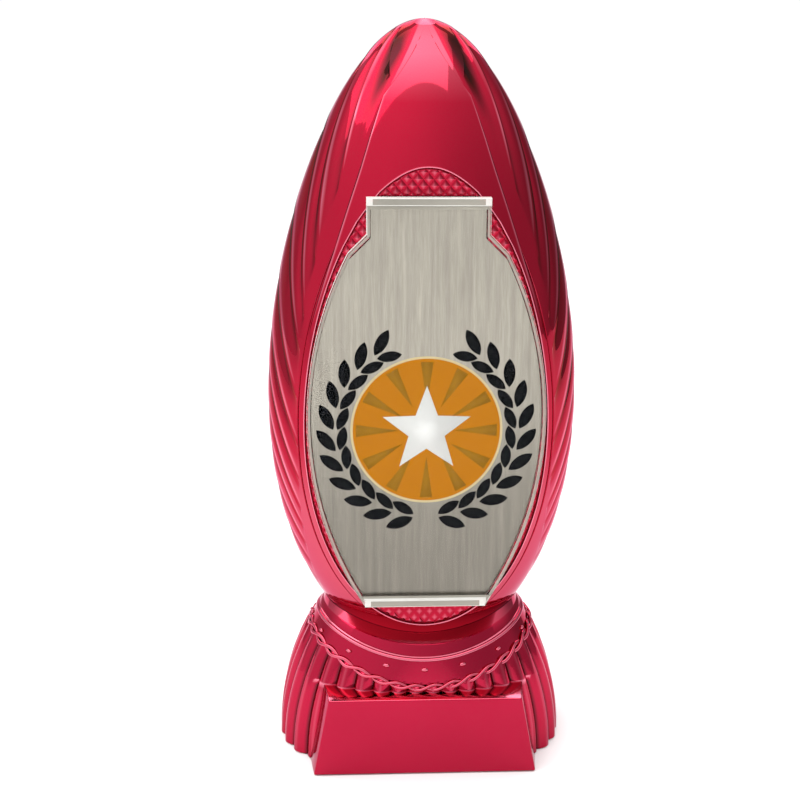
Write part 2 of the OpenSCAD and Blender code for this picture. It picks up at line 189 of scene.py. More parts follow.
# The front half has a flat oval facet whose top leans forward a little. A fine bead runs round it, its floor
# is sunk for the studs, and two slots in the floor take the tongues of the cover.
FACET_Z, FACET_Y, FACET_LEAN = 112.0, 26.6, math.radians(2.0)
STUD_RECESS = 0.55
SLOT_W, SLOT_H, SLOT_ZS, SLOT_MARGIN = 38.4, 2.6, (62.45, -58.85), 1.5
# Steps inward and outward over the bead and down to the floor, with the light painted on each: painted shade
# at the bead's feet and on the floor, and a painted highlight along its top
BEAD_STEPS = ((0.06, 0.09, 0.4), (0.12, 0.06, -1.0), (0.14, 0.0, -1.0), (0.12, -0.06, -1.0),
              (0.06, -0.09, 0.4), (0.3, -STUD_RECESS, 0.4))


def on_facet(x, z, out):
    """A place on the leaning facet, in metres: across, up along it, and out of it."""
    c, s = math.cos(FACET_LEAN), math.sin(FACET_LEAN)
    return Vector((x, -FACET_Y - out * c - z * s, FACET_Z + z * c - out * s)) * MM


facet_middle = on_facet(0, 0, 0)
facet_normal = (on_facet(0, 0, 1) - facet_middle).normalized()


def on_the_cut(v):
    return abs((v.co - facet_middle).dot(facet_normal)) < 2e-6


quarter = quarter_shell()
rear = half_shell(quarter, -1)
fill_seat(rear)
bmesh.ops.recalc_face_normals(rear, faces=rear.faces)
front = half_shell(quarter, 1)
bmesh.ops.bisect_plane(front, geom=everything(front), dist=1e-7, plane_co=facet_middle,
                       plane_no=facet_normal, clear_outer=True)
fill_seat(front)
bmesh.ops.remove_doubles(front, verts=[v for v in front.verts if on_the_cut(v)], dist=0.25 * MM)
rim = [e for e in front.edges if e.is_boundary and all(on_the_cut(v) for v in e.verts)]
oval = bmesh.ops.edgeloop_fill(front, edges=rim)["faces"]
bmesh.ops.recalc_face_normals(front, faces=front.faces)
oval_outline = [(v.co - facet_middle) / MM for v in oval[0].verts]
oval_outline.sort(key=lambda p: math.atan2(p.z, p.x))
light_layer = front.verts.layers.float["painted_shade_and_highlight"]
for step_in, step_out, painted_light in BEAD_STEPS:
    bmesh.ops.inset_region(front, faces=oval, thickness=step_in * MM, depth=step_out * MM,
                           use_even_offset=True)
    for v in oval[0].verts:
        v[light_layer] = painted_light
floor_edges = list(oval[0].edges)
bmesh.ops.delete(front, geom=oval, context="FACES_ONLY")
for slot_z in SLOT_ZS:
    corners = []
    for sx, sz in ((-1, -1), (1, -1), (1, 1), (-1, 1)):
        level = slot_z + sz * SLOT_H / 2
        beside = max(p.x for p in oval_outline if p.z / level >= 1) - SLOT_MARGIN
        corners.append(front.verts.new(on_facet(sx * min(SLOT_W / 2, beside), level, -STUD_RECESS)))
    floor_edges += [front.edges.new((corners[i - 1], corners[i])) for i in range(4)]
bmesh.ops.triangle_fill(front, edges=floor_edges, use_beauty=True, normal=facet_normal)
bmesh.ops.recalc_face_normals(front, faces=front.faces)


def linear(code):
    """Linear colour of an sRGB hex value."""
    parts = [int(code[i:i + 2], 16) / 255 for i in (1, 3, 5)]
    return [c / 12.92 if c <= 0.04045 else ((c + 0.055) / 1.055) ** 2.4 for c in parts] + [1.0]


def set_inputs(tree, node, inputs):
    """Gives a node's inputs their values, or links them to other nodes."""
    for name, value in inputs.items():
        if isinstance(value, bpy.types.NodeSocket):
            tree.links.new(value, node.inputs[name])
        else:
            node.inputs[name].default_value = value


def add_node(tree, kind, inputs=None, **settings):
    """Adds one node with its settings and inputs."""
    node = tree.nodes.new(kind)
    for name, value in settings.items():
        setattr(node, name, value)
    set_inputs(tree, node, inputs or {})
    return node


def new_material(name):
    """An empty material with its node tree, object coordinates and one Principled shader."""
    material = bpy.data.materials.new(name)
    material.use_nodes = True
    tree = material.node_tree
    tree.nodes.clear()
    place = add_node(tree, "ShaderNodeTexCoord").outputs["Object"]
    shader = add_node(tree, "ShaderNodeBsdfPrincipled")
    add_node(tree, "ShaderNodeOutputMaterial", {"Surface": shader.outputs["BSDF"]})
    return material, tree, place, shader


# Places of the colour sockets on a Mix node: the two that go in and the one that comes out
COLOUR_A, COLOUR_B, MIXED = 6, 7, 2


def metallised_abs(name, light, dark, gloss, dull, coat):
    # Aluminium is evaporated on to moulded ABS and sealed under clear crimson lacquer. The eye gets a tinted
    # mirror with a faint orange peel. Painted shade turns it nearly black and painted highlights pale pink
    # where the mesh carries them, and painted shade also darkens its grazing reflection.
    material, tree, place, shader = new_material(name)
    cloud = add_node(tree, "ShaderNodeTexNoise", {"Vector": place, "Scale": 1 / (28 * MM), "Detail": 3.0})
    tint = add_node(tree, "ShaderNodeMix", {"Factor": cloud.outputs["Fac"], COLOUR_A: linear(light),
                                            COLOUR_B: linear(dark)}, data_type="RGBA")
    painted_light_value = add_node(tree, "ShaderNodeAttribute", attribute_name="painted_shade_and_highlight").outputs["Fac"]
    # Painted shade: nearly black crimson where the mesh's painted light is above 0
    shade_amount = add_node(tree, "ShaderNodeMapRange", {"Value": painted_light_value, "To Max": 0.94}).outputs["Result"]
    shaded_colour = add_node(tree, "ShaderNodeMix", {"Factor": shade_amount, COLOUR_A: tint.outputs[MIXED],
                                            COLOUR_B: linear("#3a0510")}, data_type="RGBA")
    # Painted highlight: pale pink where the mesh's painted light is below 0
    highlight_amount = add_node(tree, "ShaderNodeMapRange", {"Value": painted_light_value, "From Min": -0.2, "From Max": -1.0,
                                                 "To Max": 0.75})
    colour = add_node(tree, "ShaderNodeMix", {"Factor": highlight_amount.outputs["Result"], COLOUR_A: shaded_colour.outputs[MIXED],
                                              COLOUR_B: linear("#f58ba2")}, data_type="RGBA")
    # Painted shade darkens the grazing reflection too
    grazing = add_node(tree, "ShaderNodeMix", {"Factor": shade_amount, COLOUR_A: linear("#e0adbf"),
                                               COLOUR_B: linear("#30080f")}, data_type="RGBA")
    haze = add_node(tree, "ShaderNodeMapRange", {"Value": cloud.outputs["Fac"], "From Min": 0.3,
                                                 "From Max": 0.7, "To Min": gloss, "To Max": dull})
    peel = add_node(tree, "ShaderNodeTexNoise", {"Vector": place, "Scale": 1 / (1.6 * MM), "Detail": 1.0})
    bump = add_node(tree, "ShaderNodeBump", {"Height": peel.outputs["Fac"], "Strength": 0.02,
                                             "Distance": 0.1 * MM})
    set_inputs(tree, shader, {"Base Color": colour.outputs[MIXED], "Specular Tint": grazing.outputs[MIXED],
                              "Roughness": haze.outputs["Result"], "Normal": bump.outputs["Normal"],
                              "Metallic": 1.0, "Coat Weight": coat, "Coat Roughness": 0.03})
    return material


def new_piece(bm, name, materials, body, replaces=(), sharp=35.0):
    """Turns a bmesh in metres into a finished piece that rides on a body."""
    for edge in bm.edges:
        edge.smooth = len(edge.link_faces) == 2 and edge.calc_face_angle(0.0) < math.radians(sharp)
    mesh = bpy.data.meshes.new(name)
    bm.to_mesh(mesh)
    bm.free()
    mesh.polygons.foreach_set("use_smooth", [True] * len(mesh.polygons))
    piece = bpy.data.objects.new(name, mesh)
    bpy.context.scene.collection.objects.link(piece)
    for material in materials:
        mesh.materials.append(material)
    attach(piece, body)
    if replaces:
        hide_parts(*replaces)
    return piece


egg_lacquer = metallised_abs("crimson_metallised_ABS", "#ae042c", "#a30328", 0.04, 0.09, 0.25)
for skin, name, node in ((front, "egg_front_shell", "body_front_shell"),
                         (rear, "egg_rear_shell", "body_rear_shell")):
    shell = new_piece(skin, name, [egg_lacquer], "award", [node], sharp=16)
    wall = shell.modifiers.new("shell_wall", "SOLIDIFY")
    wall.thickness, wall.offset, wall.use_even_offset = SHELL_WALL * MM, -1.0, False

# Stud field
# Pyramid studs moulded on the sunk floor of the facet, in staggered rows, with the shell's own mirror finish.
# A painted highlight lightens each tip, and they sparkle where the cover leaves the facet bare.
STUD_W, STUD_H, STUD_RISE, STUD_FLOOR, STUD_TIP_HIGHLIGHT = 3.1, 3.7, 0.36, 0.01, -0.6
FIELD_CELLS, RIM_MARGIN, OUTLINE_STEP, NEAR_SLOT = 60, 0.85, 3, 4.0


def with_edges(faces):
    """Faces together with their edges and corners."""
    return faces + list({e for f in faces for e in f.edges}) + list({v for f in faces for v in f.verts})


def at_slot(face, slot_z, margin=0.0):
    """Whether the middle of a flat stud face is in a slot, or within a margin of it."""
    middle = face.calc_center_median()
    return abs(middle.x) < SLOT_W / 2 + margin and abs(middle.y - slot_z) < SLOT_H / 2 + margin


studs = bmesh.new()
bmesh.ops.create_grid(studs, x_segments=FIELD_CELLS, y_segments=FIELD_CELLS, size=FIELD_CELLS / 2)
light_layer = studs.verts.layers.float.new("painted_shade_and_highlight")
lozenge = Matrix.Diagonal((STUD_W / math.sqrt(2), STUD_H / math.sqrt(2), 1.0, 1.0))
bmesh.ops.transform(studs, matrix=lozenge @ Matrix.Rotation(math.pi / 4, 4, "Z"), verts=studs.verts)
outline = [Vector((p.x, p.z / math.cos(FACET_LEAN), 0.0)) for p in oval_outline]
for i in range(0, len(outline), OUTLINE_STEP):
    a, b = outline[i - OUTLINE_STEP], outline[i]
    side = (b - a).normalized()
    out = Vector((side.y, -side.x, 0.0))
    bmesh.ops.bisect_plane(studs, geom=everything(studs), dist=1e-4, plane_co=a - out * RIM_MARGIN,
                           plane_no=out, clear_outer=True)
for slot_z in SLOT_ZS:
    for edge_co, edge_no in (((-SLOT_W / 2, 0), (-1, 0)), ((SLOT_W / 2, 0), (1, 0)),
                             ((0, slot_z - SLOT_H / 2), (0, -1)), ((0, slot_z + SLOT_H / 2), (0, 1))):
        near = [f for f in studs.faces if at_slot(f, slot_z, NEAR_SLOT)]
        bmesh.ops.bisect_plane(studs, geom=with_edges(near), dist=1e-4, plane_co=(*edge_co, 0),
                               plane_no=(*edge_no, 0))
    bmesh.ops.delete(studs, geom=[f for f in studs.faces if at_slot(f, slot_z)], context="FACES")
for face in list(studs.faces):
    share = min(1.0, face.calc_area() / (STUD_W * STUD_H / 2))
    poked = bmesh.ops.poke(studs, faces=[face], offset=STUD_RISE * math.sqrt(share), center_mode="MEAN")
    # A painted highlight on the stud's tip
    poked["verts"][0][light_layer] = STUD_TIP_HIGHLIGHT
for v in studs.verts:
    v.co = on_facet(v.co.x, v.co.y, abs(v.co.z) - STUD_RECESS + STUD_FLOOR)
bmesh.ops.recalc_face_normals(studs, faces=studs.faces)
if sum(f.normal.y for f in studs.faces) > 0:
    bmesh.ops.reverse_faces(studs, faces=studs.faces)
new_piece(studs, "facet_studs", [egg_lacquer], "award", sharp=8)

# Clear cover
# One piece of clear acrylic, moulded with a pocket behind for the insert, a lip bar along its top and bottom
# edges and a tongue behind each bar that snaps into the shell. Its edges are slightly rounded and carry a
# painted highlight; the middle of each lip and the rim of the pocket carry painted grey shade.
# Material slots: clear, painted highlight on the edges, painted grey shade on the lip middles and pocket rim
CLEAR, EDGE_PAINTED_HIGHLIGHT, GREY_PAINTED_SHADE = 0, 1, 2
LIP_CORNER, LIP_MIDDLE, LIP_LEVEL, POCKET_RIM, EDGE_ROUND = 1.5, 8.0, 1.0, 0.75, 0.3
LIP_AREA = 100 * MM**2


def clear_acrylic():
    # Acrylic from a polished mould: glass clear, with a faint smear in its gloss. A low index keeps what is
    # behind it in its place, and the coat gives the gloss of its skin.
    material, tree, place, shader = new_material("clear_moulded_acrylic")
    smear = add_node(tree, "ShaderNodeTexNoise", {"Vector": place, "Scale": 1 / (18 * MM), "Detail": 2.0})
    film = add_node(tree, "ShaderNodeMapRange", {"Value": smear.outputs["Fac"], "To Max": 0.03})
    set_inputs(tree, shader, {"Base Color": linear("#fdfefe"), "Transmission Weight": 1.0, "IOR": 1.04,
                              "Roughness": 0.0, "Coat Weight": 0.05, "Coat IOR": 1.49,
                              "Coat Roughness": film.outputs["Result"]})
    return material


def acrylic_with_painted_light(name, dark, light, cloud_size, clear, rough):
    # The same acrylic where it is seen edge on, with light painted into its colour: a bright, milky painted
    # highlight along narrow edges and corners, and painted warm grey shade where it is thick, over the lips
    # and the rim.
    material, tree, place, shader = new_material(name)
    cloud = add_node(tree, "ShaderNodeTexNoise", {"Vector": place, "Scale": 1 / (cloud_size * MM),
                                                  "Detail": 2.0})
    painted_edge_tone = add_node(tree, "ShaderNodeMix", {"Factor": cloud.outputs["Fac"], COLOUR_A: linear(dark),
                                            COLOUR_B: linear(light)}, data_type="RGBA")
    set_inputs(tree, shader, {"Base Color": painted_edge_tone.outputs[MIXED], "Transmission Weight": clear, "IOR": 1.1,
                              "Roughness": rough})
    return material


def faces_out(face):
    return face.normal.dot(facet_normal) > 0.99


cover = bmesh.new()
cover.from_mesh(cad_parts["clear_cover"].data)
bmesh.ops.remove_doubles(cover, verts=cover.verts, dist=1e-6)
bmesh.ops.dissolve_limit(cover, angle_limit=math.radians(0.5), verts=cover.verts, edges=cover.edges)
bmesh.ops.recalc_face_normals(cover, faces=cover.faces)
near_side = [e for e in cover.edges if e.calc_face_angle(0.0) > math.radians(30)
             and any(faces_out(f) for f in e.link_faces)]
bmesh.ops.bevel(cover, geom=near_side, offset=EDGE_ROUND * MM, segments=2, affect="EDGES", profile=0.5,
                material=-1)
bmesh.ops.recalc_face_normals(cover, faces=cover.faces)
for face in cover.faces:
    face.material_index = CLEAR if abs(face.normal.dot(facet_normal)) > 0.9 else EDGE_PAINTED_HIGHLIGHT
window, *lips = sorted((f for f in cover.faces if faces_out(f)), key=lambda f: -f.calc_area())[:3]
for lip in lips:
    half = max(v.co.x for v in lip.verts)
    for corner in (LIP_CORNER * MM - half, half - LIP_CORNER * MM):
        parts = [f for f in cover.faces if faces_out(f) and f.calc_area() < LIP_AREA
                 and abs((f.calc_center_median() - lip.calc_center_median()).z) < LIP_LEVEL * MM]
        bmesh.ops.bisect_plane(cover, geom=with_edges(parts), dist=1e-7, plane_co=(corner, 0, 0),
                               plane_no=(1, 0, 0))
for face in cover.faces:
    if faces_out(face) and face.calc_area() < LIP_AREA:
        face.material_index = GREY_PAINTED_SHADE if abs(face.calc_center_median().x) < LIP_MIDDLE * MM else EDGE_PAINTED_HIGHLIGHT
pocket_rim = bmesh.ops.inset_region(cover, faces=[window], thickness=POCKET_RIM * MM, depth=0,
                                    use_even_offset=True)
for face in pocket_rim["faces"]:
    face.material_index = GREY_PAINTED_SHADE
bmesh.ops.recalc_face_normals(cover, faces=cover.faces)
acrylics = [clear_acrylic(),
            acrylic_with_painted_light("acrylic_edge_painted_highlight", "#e6e4dc", "#fbfaf5", 5, 0.2, 0.25),
            acrylic_with_painted_light("acrylic_grey_painted_shade", "#a09d93", "#c6c1b5", 9, 0.3, 0.2)]
new_piece(cover, "clear_cover_moulded", acrylics, "cover", ["clear_cover"], sharp=20)

# Printed insert
# A plate of brushed aluminium, cut to the shape of the pocket and laid in it behind the clear sheet. The
# brush lines run up the plate.
COVER_W, WAIST, NECK_W, NECK_H, FOOT_W, COVER_TOP, COVER_FOOT = 70.2, 2.0, 35.4, 10.6, 36.4, 63.6, 60.0
PLATE_INSET, LIP_CUT, PLATE_EDGE = 1.2, 2.5, 0.05
PLATE_NEAR, PLATE_FAR = 0.4, 0.84
ARC_RISE, ARC_RUN = (COVER_W - FOOT_W) / 2, COVER_FOOT - WAIST
ARC_R = (ARC_RISE**2 + ARC_RUN**2) / (2 * ARC_RISE)
ARC_STEPS, ARC_SEARCH = 48, 0.002


def insert_face(bm):
    """The insert's outline as one flat face, drawn in mm across and up the facet."""
    neck, top, foot = NECK_W / 2 - PLATE_INSET, COVER_TOP - LIP_CUT, LIP_CUT - COVER_FOOT
    shoulder = COVER_TOP - NECK_H - PLATE_INSET
    r, centre = ARC_R - PLATE_INSET, COVER_W / 2 - ARC_R
    low = math.asin((foot + WAIST) / r)
    # Each side is one long arc, up to where it meets the shoulder that falls from the neck at 45 degrees.
    high = low
    while centre + r * math.cos(high) - neck < shoulder - (r * math.sin(high) - WAIST):
        high += ARC_SEARCH
    start = bm.verts.new((centre + r * math.cos(low), r * math.sin(low) - WAIST, 0))
    bmesh.ops.spin(bm, geom=[start], axis=(0, 0, 1), cent=(centre, -WAIST, 0), angle=high - low,
                   steps=ARC_STEPS)
    right = sorted(bm.verts, key=lambda v: v.co.y)
    right += [bm.verts.new((neck, y, 0)) for y in (shoulder, top)]
    left = [bm.verts.new((-v.co.x, v.co.y, 0)) for v in reversed(right)]
    return bm.faces.new(right + left)


def thicken(bm, faces, near, far):
    """Gives flat faces drawn in mm a thickness and lays them between two distances in front of the facet."""
    bmesh.ops.recalc_face_normals(bm, faces=faces)
    grown = bmesh.ops.extrude_face_region(bm, geom=faces)["geom"]
    top = {g for g in grown if isinstance(g, bmesh.types.BMVert)}
    for v in bm.verts:
        v.co = on_facet(v.co.x, v.co.y, far if v in top else near)
    bmesh.ops.recalc_face_normals(bm, faces=bm.faces)


def brushed_aluminium():
    # Sheet aluminium, brushed along its length with an abrasive belt. The eye gets a soft upright grain that
    # spreads highlights sideways: scratches 0.28 mm wide in bands of 1.6 mm. Painted shade darkens it towards
    # its foot, standing in for the darker table that it reflects there.
    material, tree, place, shader = new_material("brushed_aluminium_sheet")
    scratch_place = add_node(tree, "ShaderNodeMapping", {"Vector": place,
                                                         "Scale": (1 / (0.28 * MM), 1.0, 1 / (7 * MM))})
    scratch = add_node(tree, "ShaderNodeTexNoise", {"Vector": scratch_place.outputs["Vector"], "Scale": 1.0,
                                                    "Detail": 4.0, "Roughness": 0.65}).outputs["Fac"]
    band_place = add_node(tree, "ShaderNodeMapping", {"Vector": place,
                                                      "Scale": (1 / (1.6 * MM), 1.0, 1 / (34 * MM))})
    band = add_node(tree, "ShaderNodeTexNoise", {"Vector": band_place.outputs["Vector"], "Scale": 1.0,
                                                 "Detail": 2.0})
    grain = add_node(tree, "ShaderNodeMath", {0: scratch, 1: band.outputs["Fac"]}, operation="MULTIPLY")
    shade = add_node(tree, "ShaderNodeMapRange", {"Value": grain.outputs["Value"], "From Min": 0.1,
                                                  "From Max": 0.42})
    metal = add_node(tree, "ShaderNodeMix", {"Factor": shade.outputs["Result"], COLOUR_A: linear("#9c958a"),
                                             COLOUR_B: linear("#bdb6a9")}, data_type="RGBA")
    height = add_node(tree, "ShaderNodeSeparateXYZ", {"Vector": place})
    # Painted shade darkens the plate towards its foot
    foot_shade_amount = add_node(tree, "ShaderNodeMapRange", {"Value": height.outputs["Z"], "From Min": 60 * MM,
                                                     "From Max": 150 * MM, "To Min": 0.56, "To Max": 0.0},
                        interpolation_type="SMOOTHSTEP")
    with_painted_foot_shade = add_node(tree, "ShaderNodeMix", {"Factor": foot_shade_amount.outputs["Result"],
                                              COLOUR_A: metal.outputs[MIXED],
                                              COLOUR_B: linear("#4d4842")}, data_type="RGBA")
    rough = add_node(tree, "ShaderNodeMapRange", {"Value": scratch, "To Min": 0.26, "To Max": 0.44})
    relief = add_node(tree, "ShaderNodeBump", {"Height": scratch, "Strength": 0.25, "Distance": 0.02 * MM})
    set_inputs(tree, shader, {"Base Color": with_painted_foot_shade.outputs[MIXED], "Roughness": rough.outputs["Result"],
                              "Normal": relief.outputs["Normal"], "Metallic": 1.0})
    return material


plate = bmesh.new()
thicken(plate, [insert_face(plate)], PLATE_NEAR, PLATE_FAR)
square_edges = [e for e in plate.edges if e.calc_face_angle(0.0) > math.radians(50)]
bmesh.ops.bevel(plate, geom=square_edges, offset=PLATE_EDGE * MM, segments=1, affect="EDGES", profile=0.5,
                material=-1)
new_piece(plate, "insert_plate_brushed", [brushed_aluminium()], "cover", ["insert_plate"])

# Print
# Five films of ink, screened on to the plate one over the other: a wreath and a pale ring, then a disc, its
# rays and a star.
INK_T, INK_GAP = 0.006, 0.002
DISC_Z, RING_R, DISC_R = 107.0 - FACET_Z, 22.4, 21.7
RAYS, RAY_IN, RAY_OUT, RAY_SPREAD = 12, 8.0, 20.8, 0.09
STAR_OUT, STAR_IN = 13.6, 5.6
# Pairs of leaves up each side, in degrees from the top, then the lean, radius, length and width of the two
LEAF_PAIRS, FIRST_LEAF, LEAF_STEP = 11, 172, 13.8
LEAVES = ((28, 27.4, 8.6, 3.5), (-24, 26.2, 7.4, 3.1))


def screen_ink(name, colour, darker):
    # Solvent ink pushed through a mesh screen. The eye gets a flat, opaque film with a faint mesh mottle.
    material, tree, place, shader = new_material(name)
    mottle = add_node(tree, "ShaderNodeTexNoise", {"Vector": place, "Scale": 1 / (0.8 * MM), "Detail": 2.0})
    ink = add_node(tree, "ShaderNodeMix", {"Factor": mottle.outputs["Fac"], COLOUR_A: linear(colour),
                                           COLOUR_B: linear(darker)}, data_type="RGBA")
    set_inputs(tree, shader, {"Base Color": ink.outputs[MIXED], "Roughness": 0.42,
                              "Specular IOR Level": 0.06})
    return material


def on_disc(r, a):
    """A place at a radius and an angle from the top of the disc, in mm."""
    return Vector((r * math.sin(a), DISC_Z + r * math.cos(a), 0))


def draw_disc(bm, radius):
    bmesh.ops.create_circle(bm, cap_ends=True, segments=128, radius=radius,
                            matrix=Matrix.Translation(on_disc(0, 0)))


def draw_rays(bm):
    for k in range(RAYS):
        ray = bmesh.ops.create_circle(bm, cap_ends=True, segments=3, radius=1.0)["verts"]
        for v, (r, side) in zip(ray, ((RAY_IN, 0.0), (RAY_OUT, -RAY_SPREAD), (RAY_OUT, RAY_SPREAD))):
            v.co = on_disc(r, 2 * math.pi * k / RAYS + side)


def draw_star(bm):
    for v in bmesh.ops.create_circle(bm, cap_ends=True, segments=10, radius=1.0)["verts"]:
        a = math.atan2(v.co.x, v.co.y)
        point = round(a / (math.pi / 5)) % 2 == 0
        v.co = on_disc(STAR_OUT if point else STAR_IN, a)


def draw_wreath(bm):
    for side in (-1, 1):
        for k in range(LEAF_PAIRS):
            a = math.radians(FIRST_LEAF - k * LEAF_STEP)
            heading = math.atan2(math.sin(a), -side * math.cos(a))
            for lean, r, length, width in LEAVES:
                turned = Matrix.Rotation(heading - side * math.radians(lean), 4, "Z")
                leaf = Matrix.Translation(on_disc(r, side * a)) @ turned
                for v in bmesh.ops.create_circle(bm, cap_ends=True, segments=20, radius=1.0)["verts"]:
                    x, y = v.co.x, v.co.y * math.sqrt(1 - abs(v.co.x) ** 3)
                    v.co = leaf @ Vector(((x + 1) / 2 * length, y * width / 2, 0))


def print_film(name, draw, ink, level):
    bm = bmesh.new()
    draw(bm)
    near = PLATE_FAR + INK_GAP + level * (INK_T + INK_GAP)
    thicken(bm, bm.faces[:], near, near + INK_T)
    new_piece(bm, name, [ink], "cover")


gold = screen_ink("pale_gold_screen_ink", "#d9c69a", "#cdb98a")
ochre = screen_ink("ochre_screen_ink", "#c67c10", "#bd740c")
tan = screen_ink("tan_screen_ink", "#a6761e", "#9e6e1a")
white = screen_ink("white_screen_ink", "#fbfaf7", "#f3f1ec")
navy = screen_ink("navy_black_screen_ink", "#06080d", "#040509")
print_film("print_disc_rim", lambda bm: draw_disc(bm, RING_R), gold, 0)
print_film("print_disc", lambda bm: draw_disc(bm, DISC_R), ochre, 1)
print_film("print_rays", draw_rays, tan, 2)
print_film("print_star", draw_star, white, 3)
print_film("print_wreath", draw_wreath, navy, 0)

# Draped plinth
# One hollow moulding in the same finish, a shade more satin. Drape folds gather under a twisted rope that
# swags between two ears, with a fine bead above it, a collar with a shelf, and a cup that takes the egg.
PLINTH_W, PLINTH_D, PLINTH_BACK, PLINTH_POWER, PAD_PROUD = 90.4, 71.0, 4.0, 2.6, 0.3
EAR_Z, RIM_Z, BEAD_Z, BEAD_EAR_Z, ROPE_Z, ROPE_EAR_Z = 46.0, 40.0, 34.4, 42.6, 27.0, 38.6
FOLDS, FOLD_STEPS, FOLD_DEPTH, CUP_GAP, CUP_FLARE, COLLAR_WALL, RIM_SHELF = 38, 8, 1.5, 0.3, 0.5, 0.6, 4.5
CUP_ROOM = CUP_GAP + CUP_FLARE + FOLD_DEPTH / 2
# The rope lies in a plain seat. The bead is half round, and the fillet above it is smaller and flatter.
ROPE_SEAT, BEAD_R, FILLET_UP, FILLET_H, FILLET_OUT = 0.72, 0.55, 0.825, 0.275, 0.33
# The folds meet the ledge on top of the plaque block at their hem row, which carries a painted highlight along
# that ledge.
LEDGE_Z, HEM_ROW, ROWS_OVER_HEM, HEM_LIFT, HEM_HALF_W = 24.6, 18, 3, 0.45, 33.5
# Steps down and inward under the rim, then the cup's rows: above the rim in mm, and below it as shares of
# the height over the seat
UNDER_RIM, CUP_LIP, CUP_SHARES, CUP_SKIN = ((1.15, 0.0), (0.8, 0.35)), (1.2, 0.8), (0.6, 0.3, 0.0), 0.12
# Painted shade darkens the creases of the folds, and painted highlights lighten their crests, the bead, the
# fillet, the rim and the cup.
CREASE_PAINTED_SHADE, CREASE_FADE, CREST_PAINTED_HIGHLIGHT, CREST_FADE = 0.95, (0.8, 1.0), -0.35, (0.16, 0.0)
BEAD_PAINTED_HIGHLIGHT, RIM_PAINTED_HIGHLIGHT = -0.75, -0.35
PROFILE = (("folds", HEM_ROW + 1 + ROWS_OVER_HEM), ("rope_seat", 2), ("bead", 7), ("fillet", 5),
           ("rim", len(UNDER_RIM)), ("cup", len(CUP_LIP + CUP_SHARES)))
ROWS = [(part, k) for part, count in PROFILE for k in range(count)]


def rise(z):
    return ramp(z, 0, EAR_Z) ** 2


COLLAR_W = 2 * (egg_side(EAR_Z, CUP_ROOM) + COLLAR_WALL)
RIM_D = 2 * (EGG_DEPTH * egg_side(RIM_Z, CUP_ROOM) + RIM_SHELF + PLINTH_BACK * (1 - rise(RIM_Z)))
COLLAR_D = (RIM_D - PLINTH_D * (1 - rise(RIM_Z))) / rise(RIM_Z)


def drape_point(z, a, out):
    """A place on the draped outline, in mm, at a height and an angle from the front."""
    f = rise(z)
    w, d = (PLINTH_W * (1 - f) + COLLAR_W * f) / 2, (PLINTH_D * (1 - f) + COLLAR_D * f) / 2
    n = PLINTH_POWER * (1 - f) + 2 * f
    r = ((abs(math.sin(a)) / w) ** n + (abs(math.cos(a)) / d) ** n) ** (-1 / n) + out
    return Vector((r * math.sin(a), PLINTH_BACK * (1 - f) - r * math.cos(a), z))


def swag(low, high, a):
    """Height of a line that hangs low at the front and back and rises to the ears."""
    return low + (high - low) * math.sin(a) ** 2


def fold_cut(a):
    return FOLD_DEPTH * (1 - abs(math.sin(a * FOLDS / 2)))


def plinth_point(part, k, a):
    """A place on the plinth's skin, at a row of one part of its profile and an angle from the front."""
    rope, bead, rim = swag(ROPE_Z, ROPE_EAR_Z, a), swag(BEAD_Z, BEAD_EAR_Z, a), swag(RIM_Z, EAR_Z, a)
    plain = -FOLD_DEPTH / 2
    if part == "folds":
        z = PAD_PROUD + (LEDGE_Z - PAD_PROUD) * min(1.0, k / HEM_ROW)
        if k > HEM_ROW:
            room = rope - ROPE_SEAT - LEDGE_Z - HEM_LIFT
            z += HEM_LIFT + room * (k - HEM_ROW - 1) / (ROWS_OVER_HEM - 1)
        return drape_point(z, a, -fold_cut(a))
    if part == "rope_seat":
        return drape_point(rope + ROPE_SEAT * k, a, plain)
    if part == "bead":
        b = math.radians(-90 + k * 30)
        return drape_point(bead + BEAD_R * math.sin(b), a, plain + BEAD_R * math.cos(b))
    if part == "fillet":
        b = math.radians(-90 + k * 45)
        return drape_point(bead + FILLET_UP + FILLET_H * math.sin(b), a, plain + FILLET_OUT * math.cos(b))
    if part == "rim":
        down, inward = UNDER_RIM[k]
        return drape_point(rim - down, a, plain - inward)
    above = k < len(CUP_LIP)
    z = rim + CUP_LIP[k] if above else SEAT_Z + (rim - SEAT_Z) * CUP_SHARES[k - len(CUP_LIP)]
    r = egg_side(z, CUP_SKIN)
    return Vector((r * math.sin(a), -r * EGG_DEPTH * math.cos(a), z))


